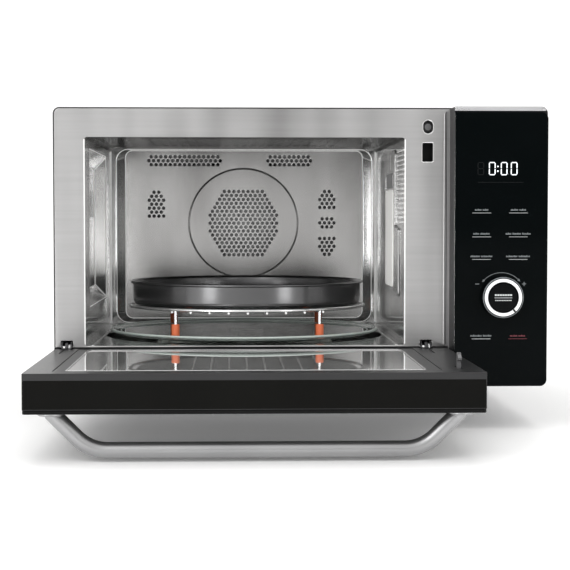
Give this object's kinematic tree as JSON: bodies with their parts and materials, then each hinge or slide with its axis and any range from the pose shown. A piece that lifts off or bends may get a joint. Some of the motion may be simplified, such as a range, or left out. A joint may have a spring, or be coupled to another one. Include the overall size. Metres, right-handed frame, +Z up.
{
  "type": "microwave oven",
  "caption": "Countertop combination microwave oven with a drop-down door, bar handle, glass turntable, wire rack, round pan and a touch panel with a dial.",
  "frame": {"origin": "centre of the bounding box in plan, with the door open, at the height of the feet's undersides", "axes": "+X to the right seen from the front, +Y from the front to the back, +Z up"},
  "size_m": [0.52, 0.701, 0.339],
  "materials": {
    "black_paint": "satin",
    "galvanised": "satin",
    "frame_steel": "brushed",
    "cavity_steel": "bright rolled",
    "back_steel": "bright rolled",
    "plain_steel": "plain",
    "dark_steel": "plain",
    "chrome_wire": "bright",
    "handle_metal": "satin",
    "aluminium": "plain",
    "heater": "oxidised",
    "copper": "enamelled wire",
    "black_plastic": "satin",
    "door_plastic": "satin",
    "choke_plastic": "satin",
    "grey_plastic": "satin",
    "white_plastic": "satin",
    "dial_plastic": "satin",
    "cap_plastic": "gloss",
    "black_glass": "gloss",
    "door_glass": "gloss",
    "clear_glass": "gloss",
    "bulb_glass": "gloss",
    "mica": "matte",
    "circuit": "satin",
    "silicone": "matte",
    "non_stick": "satin",
    "rubber": "matte",
    "screw_steel": "zinc plated"
  },
  "bodies": {
    "oven": {"cabinet_wrapper": "black_paint", "rear_panel": "black_paint", "base_plate": "galvanised", "front_frame": "frame_steel", "cavity_liner": "cavity_steel", "cavity_back_wall": "back_steel", "convection_duct": "plain_steel", "convection_heater": "heater", "convection_motor": "plain_steel", "grill_reflector": "plain_steel", "grill_heater": "heater", "grill_guard": "cavity_steel", "mica_cover": "mica", "waveguide": "plain_steel", "magnetron": "aluminium", "transformer_core": "dark_steel", "transformer_coils": "copper", "hv_capacitor": "aluminium", "fan_shroud": "black_plastic", "cooling_motor": "plain_steel", "oven_lamp": "bulb_glass", "lamp_bracket": "plain_steel", "cord_gland": "black_plastic", "turntable_motor": "plain_steel", "hinge_brackets": "dark_steel", "hinge_pins": "screw_steel", "hinge_springs": "screw_steel", "interlock_bracket": "white_plastic", "interlock_switches": "black_plastic", "control_housing": "black_plastic", "control_glass": "black_glass", "panel_trim": "handle_metal", "control_board": "circuit", "feet": "rubber", "fasteners": "screw_steel"},
    "door": {"door_bezel": "door_plastic", "outer_glass": "black_glass", "inner_glass": "door_glass", "glass_trim": "chrome_wire", "door_screen": "dark_steel", "choke_frame": "plain_steel", "choke_cover": "choke_plastic", "handle": "handle_metal", "hinge_arms": "dark_steel", "latch_pin": "screw_steel"},
    "latch": {"latch_hook": "grey_plastic"},
    "turntable": {"turntable_glass": "clear_glass", "turntable_coupler": "white_plastic"},
    "roller_carrier": {"roller_ring": "white_plastic"},
    "roller_a": {"roller_1": "white_plastic"},
    "roller_b": {"roller_2": "white_plastic"},
    "roller_c": {"roller_3": "white_plastic"},
    "rack": {"wire_rack": "chrome_wire", "rack_sleeves": "silicone"},
    "pan": {"baking_pan": "non_stick"},
    "hot_air_fan": {"convection_fan": "plain_steel"},
    "cold_air_fan": {"cooling_fan": "white_plastic"},
    "dial_knob": {"dial": "dial_plastic"},
    "confirm_button": {"confirm_cap": "cap_plastic"},
    "sensor": {"door_plunger": "grey_plastic"}
  },
  "joints": [
    {"name": "door_hinge", "type": "hinge", "parent": "oven", "child": "door", "pos_m": [0, -0.0955, 0.0832], "axis": [-1, 0, 0], "range_deg": [0, 90]},
    {"name": "latch_pivot", "type": "hinge", "parent": "door", "child": "latch", "pos_m": [0.141, -0.304, 0.0752], "axis": [-1, 0, 0], "range_deg": [0, 8], "stiffness_Nm_per_rad": 0.2, "springref_deg": -8.59},
    {"name": "turntable_spin", "type": "hinge", "parent": "oven", "child": "turntable", "pos_m": [-0.0565, 0.0795, 0.085], "axis": [0, 0, 1], "continuous": true},
    {"name": "roller_carrier_spin", "type": "hinge", "parent": "oven", "child": "roller_carrier", "pos_m": [-0.0565, 0.0795, 0.079], "axis": [0, 0, 1], "continuous": true},
    {"name": "roller_a_spin", "type": "hinge", "parent": "roller_carrier", "child": "roller_a", "pos_m": [-0.0565, 0.1875, 0.079], "axis": [0, 1, 0], "continuous": true},
    {"name": "roller_b_spin", "type": "hinge", "parent": "roller_carrier", "child": "roller_b", "pos_m": [-0.15003, 0.0255, 0.079], "axis": [-0.866, -0.5, 0], "continuous": true},
    {"name": "roller_c_spin", "type": "hinge", "parent": "roller_carrier", "child": "roller_c", "pos_m": [0.03703, 0.0255, 0.079], "axis": [0.866, -0.5, 0], "continuous": true},
    {"name": "rack_lift", "type": "slide", "parent": "turntable", "child": "rack", "axis": [0, 0, 1], "range_m": [0, 0.05]},
    {"name": "pan_lift", "type": "slide", "parent": "rack", "child": "pan", "axis": [0, 0, 1], "range_m": [0, 0.08]},
    {"name": "hot_air_fan_spin", "type": "hinge", "parent": "oven", "child": "hot_air_fan", "pos_m": [-0.0565, 0.2695, 0.215], "axis": [0, 1, 0], "continuous": true},
    {"name": "cold_air_fan_spin", "type": "hinge", "parent": "oven", "child": "cold_air_fan", "pos_m": [0.19, 0.2995, 0.21], "axis": [0, 1, 0], "continuous": true},
    {"name": "dial_turn", "type": "hinge", "parent": "oven", "child": "dial_knob", "pos_m": [0.2115, -0.1355, 0.139], "axis": [0, 1, 0], "continuous": true},
    {"name": "confirm_press", "type": "slide", "parent": "oven", "child": "confirm_button", "axis": [0, 1, 0], "range_m": [0, 0.0015], "stiffness_N_per_m": 600, "springref_m": -0.001},
    {"name": "sensor_press", "type": "slide", "parent": "oven", "child": "sensor", "axis": [0, 1, 0], "range_m": [0, 0.004], "stiffness_N_per_m": 300, "springref_m": -0.002}
  ],
  "couplings": [
    {"joint": "roller_carrier_spin", "follows": "turntable_spin", "ratio": 0.5},
    {"joint": "roller_a_spin", "follows": "turntable_spin", "ratio": -8.0597},
    {"joint": "roller_b_spin", "follows": "turntable_spin", "ratio": -8.0597},
    {"joint": "roller_c_spin", "follows": "turntable_spin", "ratio": -8.0597}
  ]
}
